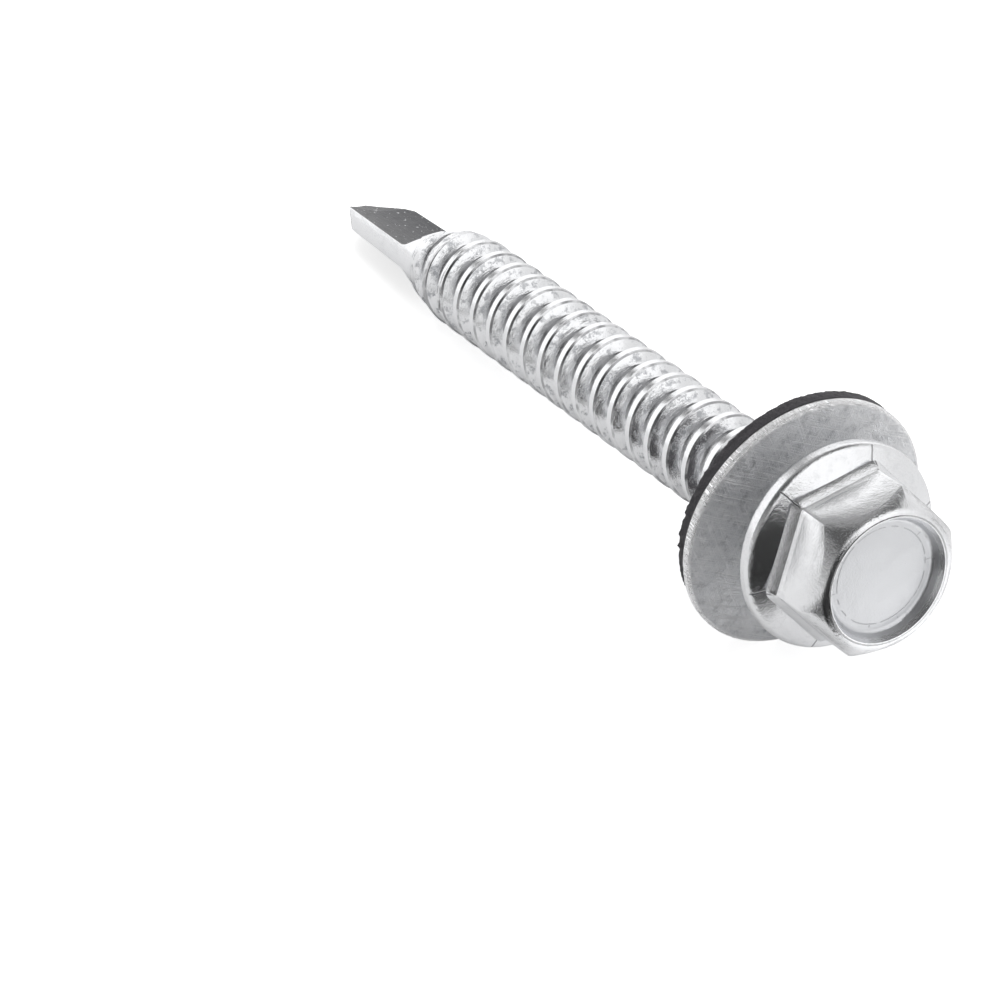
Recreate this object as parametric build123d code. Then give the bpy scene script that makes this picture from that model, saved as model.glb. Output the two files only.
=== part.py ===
from build123d import *
import os
from math import asin, atan2, ceil, cos, degrees, hypot, pi, radians, tan

# Self-drilling hex flange head screw with its bonded sealing washer, lying at rest.
# Sizes are in millimetres. Each piece is modelled upright on the screw's own axis, head up,
# with the head's bearing face at z = 0 and the drill tip at z = -length. The last section
# lays them down: the loose washer stands upright on its rim and the screw leans in its bore,
# down to where one of the thread's last turns meets the floor.

# Shank and thread: a single-start right-hand tapping thread with wide flat roots
length = 47.9                 # bearing face to drill tip
thread_diameter = 5.46
root_diameter = 4.2
thread_pitch = 1.8
plain_point = 8.8             # drill tip to the ridge's blunt end
thread_turn = -16             # degrees, where the helix would meet the bearing face, from +X
crest_width = 0.46
crest_bevel = 0.1
flank_angle = 56              # degrees between the ridge's two flanks
ridge_foot = 0.2              # how far the ridge reaches into the core
entry_height = 0.1            # height of the ridge's blunt end
entry_fade = 3.2              # the ridge grows to full height over this length
neck_gap = 0.5                # plain neck between the bearing face and the ridge
neck_fade = 1.2               # the ridge runs out towards the neck over this length
neck_radius = 0.4             # fillet between the neck and the bearing face

# Hexagon and flange, upset from the same wire
across_flats = 8.0
corner_radius = 0.35
head_height = 5.1
hex_turn = -7.2               # degrees, the hexagon's corners from the plane of the flutes
flange_diameter = 11.05
flange_rim = 1.0
flange_slope = 24             # degrees, from the rim up to the hexagon
rim_radius = 0.4
skirt_height = 0.5            # bevel between the flange's slope and the flats
skirt_flare = 0.3
crown_diameter = 7.5          # the hexagon's top edge is crowned down to this circle
crown_height = 1.2
crown_radius = 0.3
recess_diameter = 6.7
recess_floor = 6.0
recess_depth = 0.65
recess_radius = 0.25

# Drill point: two flutes pressed into a round blank, with a rounded relief behind each lip
land_thickness = 1.3
web_thickness = 0.8
flute_length = 8.0            # drill tip to where the flutes start to run out
flute_run_out = 42            # degrees, slope of each flute's end
flute_round = 1.0             # where that slope meets the flute's floor
flute_swing = 4               # degrees, the rollers lean over the heels towards the tip
web_taper = 1                 # degrees, and run in towards the axis
point_thinning = 6            # degrees, how much steeper they do so beside the point
point_angle = 108
apex_trim = 0.05              # the two reliefs meet in a chisel edge, this far under the apex
relief_radius = 3.0
relief_slope = 30             # degrees, fall of the end relief from lip to heel
overcut = 1.0                 # how far cutters and blanks reach past the steel they meet

# Bonded washer: a steel disc with a rubber seal vulcanised to its tip side
washer_place = 2.1            # bearing face to the washer's steel face, on the screw's axis
washer_diameter = 13.9
washer_thickness = 0.6
washer_edge = 0.2             # radius of the rolled rim
washer_border = 0.8           # the steel turns down over this width at the rim
washer_dish = 0.12            # by this much
seal_thickness = 1.5
seal_inset = 0.2              # the rubber's edge, inside the steel's rim where they meet
seal_swell = 0.1              # its cut wall swells by this
seal_swell_depth = 0.35       # at this depth under the steel
seal_taper = 0.9              # and draws in by this from there to the open face
seal_edge = 0.15
bore_clearance = 0.15         # between the seal's bore and the leaning thread
hole_clearance = 0.25         # and between the steel's hole and the thread

# Lying pose
screw_roll = -14.2            # degrees, the flutes' plane from upright, about the screw's axis

root_radius = root_diameter / 2
crest_radius = thread_diameter / 2
crest_flat = crest_width - crest_bevel
thread_length = length - plain_point
blunt_turn = thread_turn - 360 * thread_length / thread_pitch
blunt_radius = root_radius + entry_height
entry_slope = (crest_radius - blunt_radius) / entry_fade
apothem = across_flats / 2
slope_top = flange_rim + (flange_diameter / 2 - apothem) * tan(radians(flange_slope))
point_drop = root_radius / tan(radians(point_angle / 2)) - apex_trim
land_half = land_thickness / 2
rim_height = washer_diameter / 2


def turned(outline, rounds=()):
    """Solid of revolution from (radius, height) points, with some corners rounded."""
    face = make_face(Polyline(*[(r, 0, z) for r, z in outline], close=True))
    for corner, radius in rounds:
        r, z = outline[corner]
        near = face.vertices().sort_by_distance((r, 0, z))[0]
        face = fillet(near, radius)
    return revolve(face, Axis.Z)


def blank():
    """Shank and flange as one turned solid: tip, core, neck, bearing face, rim and slope."""
    shoulder = -(length - point_drop)
    flange_radius = flange_diameter / 2
    outline = [
        (0, -length - apex_trim),
        (root_radius, shoulder),
        (root_radius, 0),
        (flange_radius, 0),
        (flange_radius, flange_rim),
        (apothem, slope_top),
        (0, slope_top),
    ]
    rounds = [(2, neck_radius), (3, rim_radius), (4, rim_radius)]
    return turned(outline, rounds)


def hexagon(flats, radius):
    """Six-sided outline with rounded corners, flats facing along Y."""
    outline = RegularPolygon(flats / 2, 6, major_radius=False)
    return fillet(outline.vertices(), radius)


def hex_head():
    """Hexagon with a flared foot, a crowned top edge and a round recess."""
    body_low = slope_top - overcut
    body = Pos(0, 0, body_low) * extrude(hexagon(across_flats, corner_radius), head_height - body_low)
    flare = hexagon(across_flats + 2 * skirt_flare, corner_radius + skirt_flare)
    foot_low = slope_top - skirt_flare * tan(radians(flange_slope))
    foot_top = Pos(0, 0, foot_low + skirt_height) * hexagon(across_flats, corner_radius)
    foot = loft([Pos(0, 0, foot_low) * flare, foot_top])
    crown_low = head_height - crown_height
    corners = apothem / cos(pi / 6)
    crown = turned(
        [(0, 0), (corners + overcut, 0), (corners + overcut, crown_low), (corners, crown_low),
         (crown_diameter / 2, head_height), (0, head_height)],
        [(4, crown_radius)],
    )
    recess_low = head_height - recess_depth
    recess = turned(
        [(0, recess_low), (recess_floor / 2, recess_low), (recess_diameter / 2, head_height),
         (recess_diameter / 2, head_height + overcut), (0, head_height + overcut)],
        [(1, recess_radius)],
    )
    return ((body + foot) & crown) - recess


def thread_ridge():
    """Helical ridge, faded at both ends by the turned envelope that it is cut to."""
    def half_width(radius):
        return crest_width / 2 + (crest_radius - radius) * tan(radians(flank_angle / 2))

    foot = root_radius - ridge_foot
    shoulder = crest_radius - crest_bevel
    right = [(foot, half_width(foot)), (shoulder, half_width(shoulder)), (crest_radius, crest_flat / 2)]
    left = [(r, -z) for r, z in reversed(right)]
    section = make_face(Polyline(*[(r, 0, z) for r, z in right + left], close=True))
    path = Helix(thread_pitch, thread_length + thread_pitch - neck_gap, root_radius)
    start = Pos(0, 0, -thread_length - thread_pitch) * Rot(0, 0, blunt_turn)
    ridge = start * sweep(section, path=path, is_frenet=True)
    inside = root_radius - ridge_foot / 2
    outside = crest_radius + ridge_foot
    neck_slope = (crest_radius - inside) / neck_fade
    envelope = turned([
        (0, -thread_length),
        (blunt_radius, -thread_length),
        (outside, -thread_length + (outside - blunt_radius) / entry_slope),
        (outside, -neck_gap - (outside - inside) / neck_slope),
        (inside, -neck_gap),
        (0, -neck_gap),
    ])
    return ridge & envelope


def flute():
    """Cutter of one flute, facing +X: a round-nosed roller whose side touches the web."""
    edge = (root_radius ** 2 - land_half ** 2) ** 0.5
    sag = land_half - web_thickness / 2
    roller = (edge ** 2 + sag ** 2) / (2 * sag)
    nose = crest_radius
    rise = nose * tan(radians(90 - flute_run_out))
    below = -flute_length - overcut
    outline = [(0, below), (roller, below), (roller, 0), (roller - nose, rise), (0, rise)]
    tilt = Pos(0, 0, flute_length - length) * Rot(-flute_swing, web_taper, 0)
    nip = Pos(0, 0, point_drop - flute_length) * Rot(0, point_thinning, 0)
    side = Pos(web_thickness / 2 + roller, 0, 0)
    thinner = turned([(0, -point_drop - overcut), (roller, -point_drop - overcut), (roller, 0), (0, 0)])
    return tilt * (side * turned(outline, [(2, flute_round)]) + nip * side * thinner)


def end_relief():
    """Cutter that rounds off the end of the +Y land, from the tip and its lip back to its heel."""
    edge = (root_radius ** 2 - land_half ** 2) ** 0.5
    slope = radians(relief_slope)
    fall = (point_drop + land_half * tan(slope)) * cos(slope)
    chord = hypot(edge, fall)
    sink = (relief_radius ** 2 - chord ** 2 / 4) ** 0.5
    middle = (edge / 2 - sink * fall / chord, fall / 2 + sink * edge / chord)
    reach = root_diameter + 2 * overcut
    across = Pos(0, 0, -length) * Rot(0, relief_slope - 90, 0)
    drum = Pos(middle[1], middle[0], 0) * Cylinder(relief_radius, 2 * reach)
    block = Pos(middle[1], -web_thickness / 2, 0) * Box(
        reach, reach, 2 * reach, align=(Align.MAX, Align.MIN, Align.CENTER))
    return across * (block - drum)


def steel_underside(radius):
    """Height of the steel disc's seal side, flat inside and turned down at the rim."""
    return -washer_thickness - washer_dish * max(0, 1 - (rim_height - radius) / washer_border)


def steel_washer():
    """Steel disc, its face at z = 0 towards the head, with a dished and rolled rim."""
    hole = bore_radius(seal_thickness / 2 + washer_thickness) + hole_clearance
    rim = rim_height
    flat = rim - washer_border
    outline = [(hole, 0), (flat, 0), (rim, -washer_dish), (rim, steel_underside(rim)),
               (flat, steel_underside(flat)), (hole, steel_underside(hole))]
    return turned(outline, [(2, washer_edge), (3, washer_edge)])


def rubber_seal():
    """Rubber ring bonded under the steel disc, cut with a drawn-in wall; its bore hugs the thread."""
    bore = bore_radius(seal_thickness / 2) + bore_clearance
    flat = rim_height - washer_border
    rim = rim_height - seal_inset
    widest = rim + seal_swell
    face = -washer_thickness - seal_thickness
    outline = [(bore, steel_underside(bore)), (flat, steel_underside(flat)), (rim, steel_underside(rim)),
               (widest, steel_underside(rim) - seal_swell_depth), (widest - seal_taper, face), (bore, face)]
    return turned(outline, [(3, seal_edge), (4, seal_edge)])


def bore_radius(reach):
    """Radius swept by the leaning thread at a distance from where it crosses the washer's axis."""
    return crest_radius / cos(lean) + reach * tan(lean)


# The screw's axis crosses the washer's axis at the middle of the seal, one rim radius up. Of the
# crests that face the floor, one a turn, the first to meet it as the screw leans stops it.
crossing = washer_place + washer_thickness + seal_thickness / 2
first_crest = (-screw_roll - blunt_turn) % 360 / 360 * thread_pitch
leans = []
for turn in range(ceil(entry_fade / thread_pitch) + 1):
    back = first_crest + turn * thread_pitch
    crest = min(crest_radius, blunt_radius + back * entry_slope)
    span = thread_length - back + crest_flat / 2 - crossing
    leans.append(asin(rim_height / hypot(span, crest)) - atan2(crest, span))
lean = min(leans)

screw = blank() + Rot(0, 0, hex_turn) * hex_head() + thread_ridge()
for turn in (0, 180):
    screw -= Rot(0, 0, turn) * flute()
    screw -= Rot(0, 0, turn) * end_relief()

upright = Rot(0, 90, 0)
pieces = {
    "screw": Rot(0, -degrees(lean), 0) * upright * Rot(0, 0, screw_roll) * Pos(0, 0, crossing) * screw,
    "steel_washer": upright * Pos(0, 0, washer_thickness + seal_thickness / 2) * steel_washer(),
    "rubber_seal": upright * Pos(0, 0, washer_thickness + seal_thickness / 2) * rubber_seal(),
}

boxes = [piece.bounding_box() for piece in pieces.values()]
low = [min(tuple(box.min)[axis] for box in boxes) for axis in range(3)]
high = [max(tuple(box.max)[axis] for box in boxes) for axis in range(3)]
ground = Pos(-(low[0] + high[0]) / 2, -(low[1] + high[1]) / 2, -low[2])
os.makedirs("parts", exist_ok=True)
for name, piece in pieces.items():
    placed = ground * piece
    placed.label = name
    export_step(placed, f"parts/{name}.step")
print("lean", degrees(lean), "washer axis", (ground * Pos(0, 0, 0)).position)
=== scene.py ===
import bpy
import bmesh
from math import cos, pi, radians, sin
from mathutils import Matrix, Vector, noise


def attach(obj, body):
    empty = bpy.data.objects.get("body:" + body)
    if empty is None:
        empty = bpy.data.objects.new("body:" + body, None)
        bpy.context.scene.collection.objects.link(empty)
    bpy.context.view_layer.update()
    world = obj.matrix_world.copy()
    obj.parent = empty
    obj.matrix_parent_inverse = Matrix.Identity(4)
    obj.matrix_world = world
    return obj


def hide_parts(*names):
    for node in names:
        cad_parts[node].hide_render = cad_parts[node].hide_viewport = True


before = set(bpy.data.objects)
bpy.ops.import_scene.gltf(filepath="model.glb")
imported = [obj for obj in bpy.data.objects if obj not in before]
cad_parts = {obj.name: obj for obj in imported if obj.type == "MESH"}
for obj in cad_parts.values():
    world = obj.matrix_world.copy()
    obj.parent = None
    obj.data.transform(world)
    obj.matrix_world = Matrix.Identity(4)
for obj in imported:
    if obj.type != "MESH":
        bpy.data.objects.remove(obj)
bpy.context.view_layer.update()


# Screw.
# One piece of carbon steel wire, cold headed, thread rolled and drill point pinched, then plated
# with bright zinc. The plating shows the grain of the die on the head, rolling marks along the
# thread and dull scraped patches on its flanks. The flutes are painted near black, as painted shade in
# their hollows.
bearing_place = (0.0209847, 0, 0.0073994)      # where the axis leaves the flange's bearing face
bearing_turn = (0, radians(90 - 7.4838), 0)    # +Z of the screw's own frame points to the head
hex_corner_turn = radians(-21.4)               # one hexagon corner, about the axis
zinc_colour = (0.87, 0.875, 0.89, 1)
# dull zinc: real dull plating on scraped flanks and stains, and also painted shade in the recess
zinc_dull_and_shade_colour = (0.50, 0.51, 0.53, 1)
# near black flute colour: painted shade in the flutes' hollows
flute_shade_colour = (0.055, 0.056, 0.062, 1)
# dark colour for painted shade in the creases and on the thread's crests, and for the die mark
shade_and_mark_colour = (0.12, 0.12, 0.13, 1)

# Where its parts begin and end, in millimetres: heights from the bearing face, positive towards
# the head, and radii from the axis. Two numbers are a soft edge, and four a band between two.
head_foot = (-0.2, 0.1)
flange_slope = (0.9, 1.0, 1.7, 1.9)
flats_foot = (1.6, 2.4)
recess_floor = (4.35, 4.40)
point_top = (-38.9, -39.6)
crest_bevel_radius = (2.61, 2.64, 2.705, 2.728)
flank_radius = (2.12, 2.3, 2.58, 2.68)
flute_radius = (2.09, 2.05)
recess_radius = (3.25, 3.15)
recess_lip_radius = (3.40, 3.50)
crease_radius = (4.3, 4.5)


def add_node(tree, kind, **settings):
    node = tree.nodes.new(kind)
    for key, value in settings.items():
        setattr(node, key, value)
    return node


def join(tree, source, target):
    """Feeds a node's output, or a plain number or colour, into an input."""
    if isinstance(source, (int, float, tuple)):
        target.default_value = source
    else:
        tree.links.new(source, target)


def maths(tree, operation, *values, clamp=False):
    node = add_node(tree, "ShaderNodeMath", operation=operation, use_clamp=clamp)
    for value, target in zip(values, node.inputs):
        join(tree, value, target)
    return node.outputs[0]


def times(tree, *factors):
    product = factors[0]
    for factor in factors[1:]:
        product = maths(tree, "MULTIPLY", product, factor)
    return product


def topmost(tree, *masks):
    top = masks[0]
    for mask in masks[1:]:
        top = maths(tree, "MAXIMUM", top, mask)
    return top


def piled(tree, base, *layers):
    """The base with each layer added to it, a layer being a mask and its weight."""
    for mask, weight in layers:
        base = maths(tree, "MULTIPLY_ADD", mask, weight, base)
    return base


def rise(tree, value, low, high):
    """0 below low, 1 above high, with a soft step between. With low above high it falls."""
    node = add_node(tree, "ShaderNodeMapRange", interpolation_type="SMOOTHSTEP")
    join(tree, value, node.inputs["Value"])
    node.inputs["From Min"].default_value = min(low, high)
    node.inputs["From Max"].default_value = max(low, high)
    if low > high:
        node.inputs["To Min"].default_value, node.inputs["To Max"].default_value = 1, 0
    return node.outputs[0]


def band(tree, value, low, full, fading, high):
    """1 from full to fading, and 0 below low and above high."""
    return times(tree, rise(tree, value, low, full), rise(tree, value, high, fading))


def painted(tree, colour, *coats):
    """The colour under each coat in turn, a coat being a mask and its own colour."""
    for mask, coat_colour in coats:
        node = add_node(tree, "ShaderNodeMix", data_type="RGBA")
        join(tree, mask, node.inputs["Factor"])
        join(tree, colour, node.inputs["A"])
        join(tree, coat_colour, node.inputs["B"])
        colour = node.outputs["Result"]
    return colour


def noise_at(tree, place, scale, detail=2.0, roughness=0.5):
    """Cloudy noise between 0 and 1, of about scale marks in a millimetre."""
    node = add_node(tree, "ShaderNodeTexNoise")
    join(tree, place, node.inputs["Vector"])
    node.inputs["Scale"].default_value = scale
    node.inputs["Detail"].default_value = detail
    node.inputs["Roughness"].default_value = roughness
    return node.outputs["Fac"]


def drawn_out(tree, place, across, along):
    """Place, with its two directions across the axis and the one along it scaled."""
    node = add_node(tree, "ShaderNodeVectorMath", operation="MULTIPLY")
    join(tree, place, node.inputs[0])
    node.inputs[1].default_value = (across, across, along)
    return node.outputs[0]


def bumped(tree, height, distance, normal=None):
    """Normal of a surface that stands out by height times distance, in metres."""
    node = add_node(tree, "ShaderNodeBump")
    node.inputs["Distance"].default_value = distance
    if normal is not None:
        join(tree, normal, node.inputs["Normal"])
    join(tree, height, node.inputs["Height"])
    return node.outputs[0]


def new_group(name, takes, gives):
    """Empty shader node group with named float, vector or colour sockets."""
    group = bpy.data.node_groups.new(name, "ShaderNodeTree")
    for socket, kind in takes:
        group.interface.new_socket(socket, in_out="INPUT", socket_type="NodeSocket" + kind)
    for socket, kind in gives:
        group.interface.new_socket(socket, in_out="OUTPUT", socket_type="NodeSocket" + kind)
    return group, group.nodes.new("NodeGroupInput").outputs, group.nodes.new("NodeGroupOutput").inputs


def use_group(tree, group, **values):
    node = add_node(tree, "ShaderNodeGroup", node_tree=group)
    for name, value in values.items():
        join(tree, value, node.inputs[name])
    return node.outputs


def new_material(name):
    material = bpy.data.materials.new(name)
    material.use_nodes = True
    return material, material.node_tree, material.node_tree.nodes["Principled BSDF"]


# Millimetres in a turned piece's own frame: along its axis, out from it, and round it.
turned_frame, takes, gives = new_group(
    "turned_frame", [("Place", "Vector"), ("Turn", "Vector")],
    [("Point", "Vector"), ("Along", "Float"), ("Radius", "Float"), ("Around", "Float")])
millimetre = 0.001
coords = add_node(turned_frame, "ShaderNodeTexCoord")
mapping = add_node(turned_frame, "ShaderNodeMapping", vector_type="TEXTURE")
join(turned_frame, coords.outputs["Object"], mapping.inputs["Vector"])
join(turned_frame, takes["Place"], mapping.inputs["Location"])
join(turned_frame, takes["Turn"], mapping.inputs["Rotation"])
mapping.inputs["Scale"].default_value = (millimetre, millimetre, millimetre)
parts = add_node(turned_frame, "ShaderNodeSeparateXYZ")
join(turned_frame, mapping.outputs[0], parts.inputs[0])
squares = [maths(turned_frame, "MULTIPLY", part, part) for part in parts.outputs[:2]]
join(turned_frame, mapping.outputs[0], gives["Point"])
join(turned_frame, parts.outputs[2], gives["Along"])
join(turned_frame, maths(turned_frame, "SQRT", maths(turned_frame, "ADD", *squares)), gives["Radius"])
join(turned_frame, maths(turned_frame, "ARCTAN2", parts.outputs[1], parts.outputs[0]), gives["Around"])

# Zinc plating: a fine pebbled grain, soft waves of the steel under it, and dull stains.
plating, takes, gives = new_group(
    "zinc_plating", [("Point", "Vector"), ("Grain", "Float"), ("Waves", "Float")],
    [("Height", "Float"), ("Stain", "Float")])
grain = noise_at(plating, takes["Point"], 6.5, detail=3.0, roughness=0.75)
fine_grain = noise_at(plating, takes["Point"], 17.0, detail=1.0)
waves = noise_at(plating, takes["Point"], 0.9, detail=1.0, roughness=0.4)
stains = noise_at(plating, takes["Point"], 1.7, detail=4.0, roughness=0.7)
height = times(plating, piled(plating, grain, (fine_grain, 0.4)), takes["Grain"])
join(plating, piled(plating, height, (waves, takes["Waves"])), gives["Height"])
join(plating, rise(plating, stains, 0.48, 0.72), gives["Stain"])

zinc, tree, shader = new_material("bright_zinc")
own = use_group(tree, turned_frame, Place=bearing_place, Turn=bearing_turn)
point, along, radius, around = (own[name] for name in ("Point", "Along", "Radius", "Around"))
skin = use_group(tree, plating, Point=point, Grain=1.0, Waves=2.0)

on_head = rise(tree, along, *head_foot)
on_point = rise(tree, along, *point_top)
on_shank = maths(tree, "SUBTRACT", maths(tree, "SUBTRACT", 1.0, on_head), on_point, clamp=True)
on_bevel = times(tree, on_shank, band(tree, radius, *crest_bevel_radius))
on_flank = times(tree, on_shank, band(tree, radius, *flank_radius))
in_flute = times(tree, on_point, rise(tree, radius, *flute_radius))
in_recess = times(tree, rise(tree, along, *recess_floor), rise(tree, radius, *recess_radius))
corner = maths(tree, "PINGPONG", maths(tree, "SUBTRACT", around, hex_corner_turn), pi / 6)

# The blow that upset the head rolled the crown's edge, so flat and crown bend into each other.
# Near that edge each side falls away over a width, by a depth, in millimetres.
crown_low, crown_slope, corner_reach, flat_reach = 3.9, 0.725, 4.619, 4.0
crown_width, crown_depth = 1.3, 0.26
flat_width, flat_depth = 0.5, 0.13
draw_in = maths(tree, "MULTIPLY", maths(tree, "SUBTRACT", along, crown_low), crown_slope)
to_crown = maths(tree, "SUBTRACT", maths(tree, "SUBTRACT", corner_reach, radius), draw_in)
off_flat = maths(tree, "COSINE", maths(tree, "SUBTRACT", pi / 6, corner))
to_flat = maths(tree, "SUBTRACT", flat_reach, maths(tree, "MULTIPLY", radius, off_flat))
bend = 0.0
for reach, width, depth in ((to_crown, crown_width, crown_depth), (to_flat, flat_width, flat_depth)):
    near = maths(tree, "SUBTRACT", 1.0, maths(tree, "DIVIDE", reach, width), clamp=True)
    bend = piled(tree, bend, (times(tree, near, near), -depth))
beside_recess = times(tree, rise(tree, along, *flats_foot), rise(tree, radius, *recess_lip_radius))
bend = times(tree, bend, beside_recess)

# Rolling marks run round the shank and pressing marks along the point. Scraped patches lie on
# the flanks, and bright specks in the flutes.
rolled = noise_at(tree, drawn_out(tree, point, 0.45, 6.0), 1.0, detail=3.0, roughness=0.6)
pressed = noise_at(tree, drawn_out(tree, point, 2.9, 0.7), 1.6, detail=3.0, roughness=0.6)
scraped = noise_at(tree, drawn_out(tree, point, 0.92, 1.3), 1.5, detail=5.0, roughness=0.75)
scraped = rise(tree, scraped, 0.50, 0.62)
specks = rise(tree, noise_at(tree, point, 5.0, roughness=0.6), 0.66, 0.72)

# Die mark: a fine broken ring near the recess's edge, with a few short ticks across it.
ring_radius, ring_edge = 2.62, (0.045, 0.015)
tick_start, tick_gap, tick_edge, tick_radius = 0.3, 0.31, (0.014, 0.004), (2.52, 2.6)
off_ring = maths(tree, "ABSOLUTE", maths(tree, "SUBTRACT", radius, ring_radius))
ring = times(tree, rise(tree, off_ring, *ring_edge), rise(tree, noise_at(tree, point, 2.4), 0.42, 0.5))
off_tick = maths(tree, "PINGPONG", maths(tree, "ADD", around, tick_start), tick_gap)
ticks = times(tree, rise(tree, off_tick, *tick_edge), rise(tree, radius, *tick_radius),
              rise(tree, noise_at(tree, point, 1.3), 0.5, 0.54))
die_mark = times(tree, in_recess, topmost(tree, ring, ticks))

# Creases run out over the flange from the hexagon's corners. Their darkness is painted shade.
crease_edge = (0.06, 0.02)
crease = times(tree, rise(tree, times(tree, corner, radius), *crease_edge),
               rise(tree, radius, *crease_radius), band(tree, along, *flange_slope))

# Painted shade in the creases, and the die mark painted darker.
crease_shade_and_die_mark = topmost(tree, times(tree, crease, 0.6), times(tree, die_mark, 0.3))
# Dull scraped flanks and stains are real; the recess is painted dull as well, as painted shade in the
# hollow.
dull_and_recess_shade = topmost(tree, times(tree, on_flank, scraped), times(tree, skin["Stain"], 0.15),
               times(tree, in_recess, 0.55))
# The crests' bevels are painted darker in broken patches: painted shade along the thread's crests.
broken = rise(tree, noise_at(tree, point, 1.4, detail=3.0), 0.4, 0.6)
crest_bevel_shade = times(tree, on_bevel, piled(tree, 0.15, (broken, 0.45)))
colour = painted(tree, zinc_colour, (dull_and_recess_shade, zinc_dull_and_shade_colour), (crest_bevel_shade, shade_and_mark_colour),
                 (in_flute, flute_shade_colour), (times(tree, in_flute, specks), zinc_colour),
                 (crease_shade_and_die_mark, shade_and_mark_colour))
join(tree, colour, shader.inputs["Base Color"])
shader.inputs["Metallic"].default_value = 1
rough = piled(tree, 0.16, (skin["Stain"], 0.06), (on_head, 0.02), (topmost(tree, dull_and_recess_shade, in_flute), 0.15),
              (in_recess, 0.08))
join(tree, rough, shader.inputs["Roughness"])

skin_depth = piled(tree, 0.5, (on_head, 0.9))
height = piled(tree, times(tree, skin["Height"], skin_depth), (times(tree, rolled, on_shank), 0.9),
               (times(tree, pressed, on_point), 2.0), (times(tree, scraped, on_flank), 0.4), (crease_shade_and_die_mark, -3.0))
join(tree, bumped(tree, height, 0.000012, bumped(tree, bend, millimetre)), shader.inputs["Normal"])
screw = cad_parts["screw"]
screw.data.materials.clear()
screw.data.materials.append(zinc)


# Steel disc of the washer.
# Pressed from zinc plated sheet and tumbled, so it is satin, with crossed scratches and grey
# stains. Its rim is turned down over the rubber, rubbed bright and painted lighter still as a highlight.
# It is loose on the shank.
washer_place = (0.018914, 0, 0.00695)          # middle of the steel's face towards the head
washer_turn = (0, pi / 2, 0)
disc_colour = (0.70, 0.71, 0.73, 1)
disc_stain_colour = (0.34, 0.35, 0.37, 1)
disc_bright_colour = (0.97, 0.97, 0.98, 1)
bright_rim_radius = (6.72, 6.85)
scratch_sets = [                                # lean, lines across in a millimetre, strength
    (0.5, 15.0, 1.0),
    (1.25, 18.0, 0.7),
    (-0.9, 12.0, 0.5),
]

# Scratches: thin broken lines that run one way, at the angle Lean.
scratches, takes, gives = new_group(
    "fine_scratches", [("Point", "Vector"), ("Lean", "Float"), ("Spread", "Float")], [("Line", "Float")])
turn = add_node(scratches, "ShaderNodeVectorRotate", rotation_type="Z_AXIS")
join(scratches, takes["Point"], turn.inputs["Vector"])
join(scratches, takes["Lean"], turn.inputs["Angle"])
parts = add_node(scratches, "ShaderNodeSeparateXYZ")
join(scratches, turn.outputs[0], parts.inputs[0])
sway = noise_at(scratches, takes["Point"], 0.35, detail=1.0)
swayed = piled(scratches, parts.outputs[0], (sway, 0.3))
line_place = add_node(scratches, "ShaderNodeCombineXYZ")
join(scratches, times(scratches, swayed, takes["Spread"]), line_place.inputs["X"])
join(scratches, times(scratches, parts.outputs[1], 0.22), line_place.inputs["Y"])
lines = noise_at(scratches, line_place.outputs[0], 1.0, detail=3.0, roughness=0.75)
join(scratches, rise(scratches, lines, 0.47, 0.70), gives["Line"])

satin, tree, shader = new_material("satin_zinc")
own = use_group(tree, turned_frame, Place=washer_place, Turn=washer_turn)
point, radius = own["Point"], own["Radius"]
skin = use_group(tree, plating, Point=point, Grain=0.7, Waves=1.5)
lines = []
for lean, spread, strength in scratch_sets:
    line = use_group(tree, scratches, Point=point, Lean=lean, Spread=spread)["Line"]
    lines.append(times(tree, line, strength))
scratched = topmost(tree, *lines)
# The rim: real polish in its lower roughness, and a painted highlight in its lighter colour.
rim_polish_and_highlight = rise(tree, radius, *bright_rim_radius)
clouds = rise(tree, noise_at(tree, point, 0.55, detail=4.0, roughness=0.65), 0.35, 0.65)
colour = painted(tree, disc_colour, (times(tree, skin["Stain"], 0.8), disc_stain_colour),
                 (times(tree, clouds, 0.3), disc_bright_colour),
                 (times(tree, scratched, 0.85), disc_bright_colour), (rim_polish_and_highlight, disc_bright_colour))
join(tree, colour, shader.inputs["Base Color"])
shader.inputs["Metallic"].default_value = 1
join(tree, piled(tree, 0.42, (clouds, -0.08), (rim_polish_and_highlight, -0.12)), shader.inputs["Roughness"])
height = piled(tree, skin["Height"], (scratched, -4.0))
join(tree, bumped(tree, height, 0.000010), shader.inputs["Normal"])
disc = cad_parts["steel_washer"]
disc.data.materials.clear()
disc.data.materials.append(satin)


# Rubber seal of the washer.
# Black rubber vulcanised under the steel disc and stamped out with it. The torn cut wall is
# grainy, with small nibs; the open face is smooth and dusty. It turns with the steel disc.
seal_rings = [                                  # (radius, depth under the steel's face), mm
    (3.002, 0.605), (3.002, 1.0), (3.002, 1.5), (3.002, 1.95), (3.046, 2.056), (3.152, 2.1),
    (3.6, 2.1), (4.2, 2.1), (4.8, 2.1), (5.4, 2.1), (5.72, 2.1), (5.88, 2.094), (6.0, 2.05),
]
bonded_rings = [(6.15, 0.61), (5.0, 0.605), (4.0, 0.605)]
wall_top, wall_low, wall_swell = (6.74, 0.735), (6.06, 2.0), (6.80, 1.30)
swell_share = 0.6                               # how far up the wall it swells most
wall_rows = 26
wall_limit = 6.94                               # just inside the steel's rim
seal_segments = 480
pit_scale, pit_depth = 3.1, 0.09
pit_falloff, pit_step, pit_octaves = 0.9, 2.1, 4
nib_scale, nib_shift, nib_from, nib_height = Vector((2.3, 2.3, 1.6)), Vector((7, 3, 1)), 0.42, 0.4
seal_offset, seal_offset_turn = 0.16, pi / 3    # the wall stands out more at the top far side
rubber_colour = (0.022, 0.021, 0.024, 1)
rubber_pale_colour = (0.11, 0.105, 0.115, 1)
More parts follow.
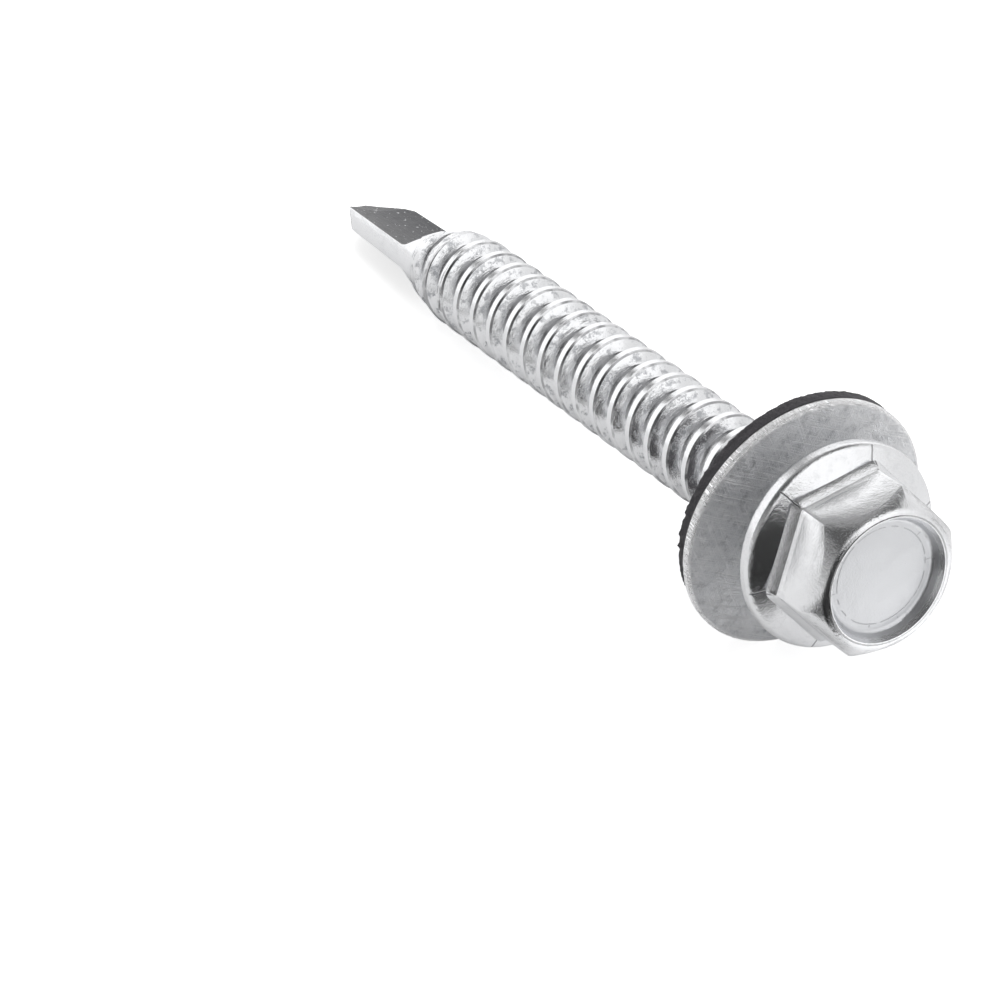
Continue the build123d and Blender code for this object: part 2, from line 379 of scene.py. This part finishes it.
dust_colour = (0.16, 0.155, 0.15, 1)
open_face = (-2.04, -2.09)


def wall_point(share):
    """Point of the cut wall, 0 at its foot by the open face and 1 at the steel."""
    if share < swell_share:
        start, end, part = wall_low, wall_swell, share / swell_share
    else:
        start, end, part = wall_swell, wall_top, (share - swell_share) / (1 - swell_share)
    return tuple(a + (b - a) * part for a, b in zip(start, end))


def torn_out(spot):
    """How far the torn rubber stands out at a place on the wall, in millimetres."""
    pits = noise.fractal(spot * pit_scale, pit_falloff, pit_step, pit_octaves)
    nibs = max(0, noise.noise(spot * nib_scale + nib_shift) - nib_from)
    return pit_depth * pits + nib_height * nibs


wall = [wall_point(row / wall_rows) for row in range(wall_rows + 1)]
outline = seal_rings + wall + bonded_rings
mesh = bmesh.new()
rows = []
for place, (ring_radius, depth) in enumerate(outline):
    torn = len(seal_rings) <= place <= len(seal_rings) + wall_rows
    share = (place - len(seal_rings)) / wall_rows
    fade = min(1, share * 6, (1 - share) * 4) if torn else 0
    row = []
    for step in range(seal_segments):
        turn = 2 * pi * step / seal_segments
        spot = Vector((cos(turn) * ring_radius, sin(turn) * ring_radius, depth))
        out = fade * torn_out(spot) if fade else 0
        reach = ring_radius + out + seal_offset * torn * cos(turn - seal_offset_turn)
        reach = min(reach, wall_limit) * millimetre
        row.append(mesh.verts.new((washer_place[0] - depth * millimetre, reach * cos(turn),
                                   washer_place[2] + reach * sin(turn))))
    rows.append(row)
for first, second in zip(rows, rows[1:] + rows[:1]):
    for step in range(seal_segments):
        after = (step + 1) % seal_segments
        mesh.faces.new((first[step], first[after], second[after], second[step]))
bmesh.ops.recalc_face_normals(mesh, faces=mesh.faces)
for face in mesh.faces:
    face.smooth = True
data = bpy.data.meshes.new("seal_ring")
mesh.to_mesh(data)
mesh.free()
seal = bpy.data.objects.new("seal_ring", data)
bpy.context.scene.collection.objects.link(seal)

rubber, tree, shader = new_material("black_rubber")
own = use_group(tree, turned_frame, Place=washer_place, Turn=washer_turn)
point, along = own["Point"], own["Along"]
pits = noise_at(tree, point, 9.0, detail=3.0, roughness=0.7)
dust = rise(tree, noise_at(tree, point, 2.2, detail=4.0, roughness=0.7), 0.46, 0.7)
on_face = rise(tree, along, *open_face)
dusty = times(tree, dust, piled(tree, 0.12, (on_face, 0.3)))
colour = painted(tree, rubber_colour, (times(tree, pits, 0.9), rubber_pale_colour), (dusty, dust_colour))
join(tree, colour, shader.inputs["Base Color"])
join(tree, piled(tree, 0.55, (dust, 0.2)), shader.inputs["Roughness"])
shader.inputs["Specular IOR Level"].default_value = 0.4
height = times(tree, pits, piled(tree, 1.0, (on_face, -0.8)))
join(tree, bumped(tree, height, 0.00009), shader.inputs["Normal"])
data.materials.append(rubber)
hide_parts("rubber_seal")
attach(seal, "washer")


# Floor.
# A sheet of plain white card, which keeps the screw's shadow. For polished metal only, the card
# glows in one soft patch in front of the head: painted light in the reflections, with no lamp there.
floor_reach = 3.0
floor_lift = 0.70                               # brings the card to white in the camera
# the gleam is painted light: the card glows there for glossy rays only
gleam_place, gleam_edge = (0.030, 0.009, 0), (0.016, 0.005)
gleam_strength, gleam_rest = 0.55, 0.08


def flat_sheet(name, corners, material):
    data = bpy.data.meshes.new(name)
    data.from_pydata(corners, [], [list(range(len(corners)))])
    data.materials.append(material)
    sheet = bpy.data.objects.new(name, data)
    bpy.context.scene.collection.objects.link(sheet)
    return sheet


card = bpy.data.materials.new("white_card")
card.use_nodes = True
tree = card.node_tree
tree.nodes.clear()
matte = add_node(tree, "ShaderNodeBsdfDiffuse")
matte.inputs["Color"].default_value = (0.84, 0.84, 0.84, 1)
path = add_node(tree, "ShaderNodeLightPath")
spot = add_node(tree, "ShaderNodeVectorMath", operation="DISTANCE")
join(tree, add_node(tree, "ShaderNodeTexCoord").outputs["Object"], spot.inputs[0])
spot.inputs[1].default_value = gleam_place
gleam = piled(tree, gleam_rest, (rise(tree, spot.outputs["Value"], *gleam_edge), gleam_strength))
glow = add_node(tree, "ShaderNodeEmission")
glow.inputs["Color"].default_value = (1, 1, 1, 1)
lift = times(tree, path.outputs["Is Camera Ray"], floor_lift)
join(tree, piled(tree, lift, (path.outputs["Is Glossy Ray"], gleam)), glow.inputs["Strength"])
both = add_node(tree, "ShaderNodeAddShader")
join(tree, matte.outputs[0], both.inputs[0])
join(tree, glow.outputs[0], both.inputs[1])
join(tree, both.outputs[0], add_node(tree, "ShaderNodeOutputMaterial").inputs["Surface"])
floor = flat_sheet("floor", [(-floor_reach, -floor_reach, 0), (floor_reach, -floor_reach, 0),
                             (floor_reach, floor_reach, 0), (-floor_reach, floor_reach, 0)], card)


# Flags.
# Two sheets of black card, one lying in front of the head and one standing close beside it. Only
# the polished metal sees them, as it does the dark side of a real studio.
black, tree, shader = new_material("black_card")
shader.inputs["Base Color"].default_value = (0.01, 0.01, 0.01, 1)
lying_corners = [
    (0.0285, -0.0050, 0.0004), (0.0268, -0.012, 0.0004), (0.030, -0.05, 0.0004),
    (0.22, -0.45, 0.0004), (0.30, -0.03, 0.0004), (0.05, -0.006, 0.0004),
]
upright_corners = [
    (0.0325, -0.017, 0.0005), (0.0325, -0.0005, 0.0005), (0.0325, -0.0015, 0.0142),
    (0.0325, -0.017, 0.0142),
]
for name, corners in (("flag", lying_corners), ("upright_flag", upright_corners)):
    flag = flat_sheet(name, corners, black)
    flag.visible_camera = flag.visible_diffuse = flag.visible_shadow = False


# Studio light.
# A white tent stands behind the tail and over its far side. The camera's side is dark, and so are
# a gap along the tent's ridge and the air overhead, which the plating shows as grey and black.
room = 0.10
panels = [                                      # towards, inner and outer half-angle, strength
    ((-0.86, -0.50, 0.10), 34, 46, 1.1),
    ((-0.80, 0.52, 0.20), 30, 44, 1.1),
    ((0.74, 0.33, 0.58), 31, 42, 1.05),
    ((0.25, 0.97, 0.05), 30, 50, 0.75),
    ((0.94, -0.26, 0.18), 16, 30, 0.8),
    ((0.28, -0.95, 0.10), 12, 36, 0.30),
]
ridge_gap = ((-0.88, 0.0, 0.56), 5, 12, 0.7)    # the same, with how much of the light is lost
overhead_panel = ((-0.45, 0.0, 0.90), 16, 34, 0.25)

world = bpy.data.worlds.new("studio")
bpy.context.scene.world = world
world.use_nodes = True
tree = world.node_tree
tree.nodes.clear()
direction = add_node(tree, "ShaderNodeTexCoord").outputs["Generated"]


def seen_within(towards, inner, outer):
    """1 inside a round panel seen from the screw, and 0 outside it."""
    facing = add_node(tree, "ShaderNodeVectorMath", operation="DOT_PRODUCT")
    join(tree, direction, facing.inputs[0])
    facing.inputs[1].default_value = Vector(towards).normalized()
    return rise(tree, facing.outputs["Value"], cos(radians(outer)), cos(radians(inner)))


def lit_by(light, towards, inner, outer, strength):
    return topmost(tree, light, piled(tree, room, (seen_within(towards, inner, outer), strength)))


light = room
for panel in panels:
    light = lit_by(light, *panel)
light = times(tree, light, piled(tree, 1.0, (seen_within(*ridge_gap[:3]), -ridge_gap[3])))
light = lit_by(light, *overhead_panel)
sky = add_node(tree, "ShaderNodeBackground")
sky.inputs["Color"].default_value = (1, 1, 1, 1)
join(tree, light, sky.inputs["Strength"])
white = add_node(tree, "ShaderNodeBackground")
white.inputs["Color"].default_value = (1, 1, 1, 1)
seen = add_node(tree, "ShaderNodeMixShader")
join(tree, add_node(tree, "ShaderNodeLightPath").outputs["Is Camera Ray"], seen.inputs["Fac"])
join(tree, sky.outputs[0], seen.inputs[1])
join(tree, white.outputs[0], seen.inputs[2])
join(tree, seen.outputs[0], add_node(tree, "ShaderNodeOutputWorld").inputs["Surface"])

lamp_data = bpy.data.lights.new("overhead", "AREA")
lamp_data.shape = "RECTANGLE"
lamp_data.size, lamp_data.size_y = 0.5, 0.5
lamp_data.energy = 1.6
lamp = bpy.data.objects.new("overhead", lamp_data)
lamp.location = (-0.05, 0.10, 0.62)
lamp.rotation_mode = "QUATERNION"
lamp.rotation_quaternion = (-Vector(lamp.location)).to_track_quat("-Z", "Y")
lamp.visible_glossy = False
bpy.context.scene.collection.objects.link(lamp)


# Camera.
# A long lens held level, looking down along the screw from the side of its head.
camera_data = bpy.data.cameras.new("camera")
camera_data.lens = 159.98
camera_data.sensor_width = 36
camera_data.clip_start = 0.01
camera_data.clip_end = 20
camera = bpy.data.objects.new("camera", camera_data)
camera.location = (0.165572, -0.10412, 0.137477)
camera.rotation_mode = "QUATERNION"
camera.rotation_quaternion = Vector((-0.699316, 0.4119, -0.58417)).to_track_quat("-Z", "Y")
bpy.context.scene.collection.objects.link(camera)
bpy.context.scene.camera = camera
bpy.context.scene.view_settings.view_transform = "Standard"
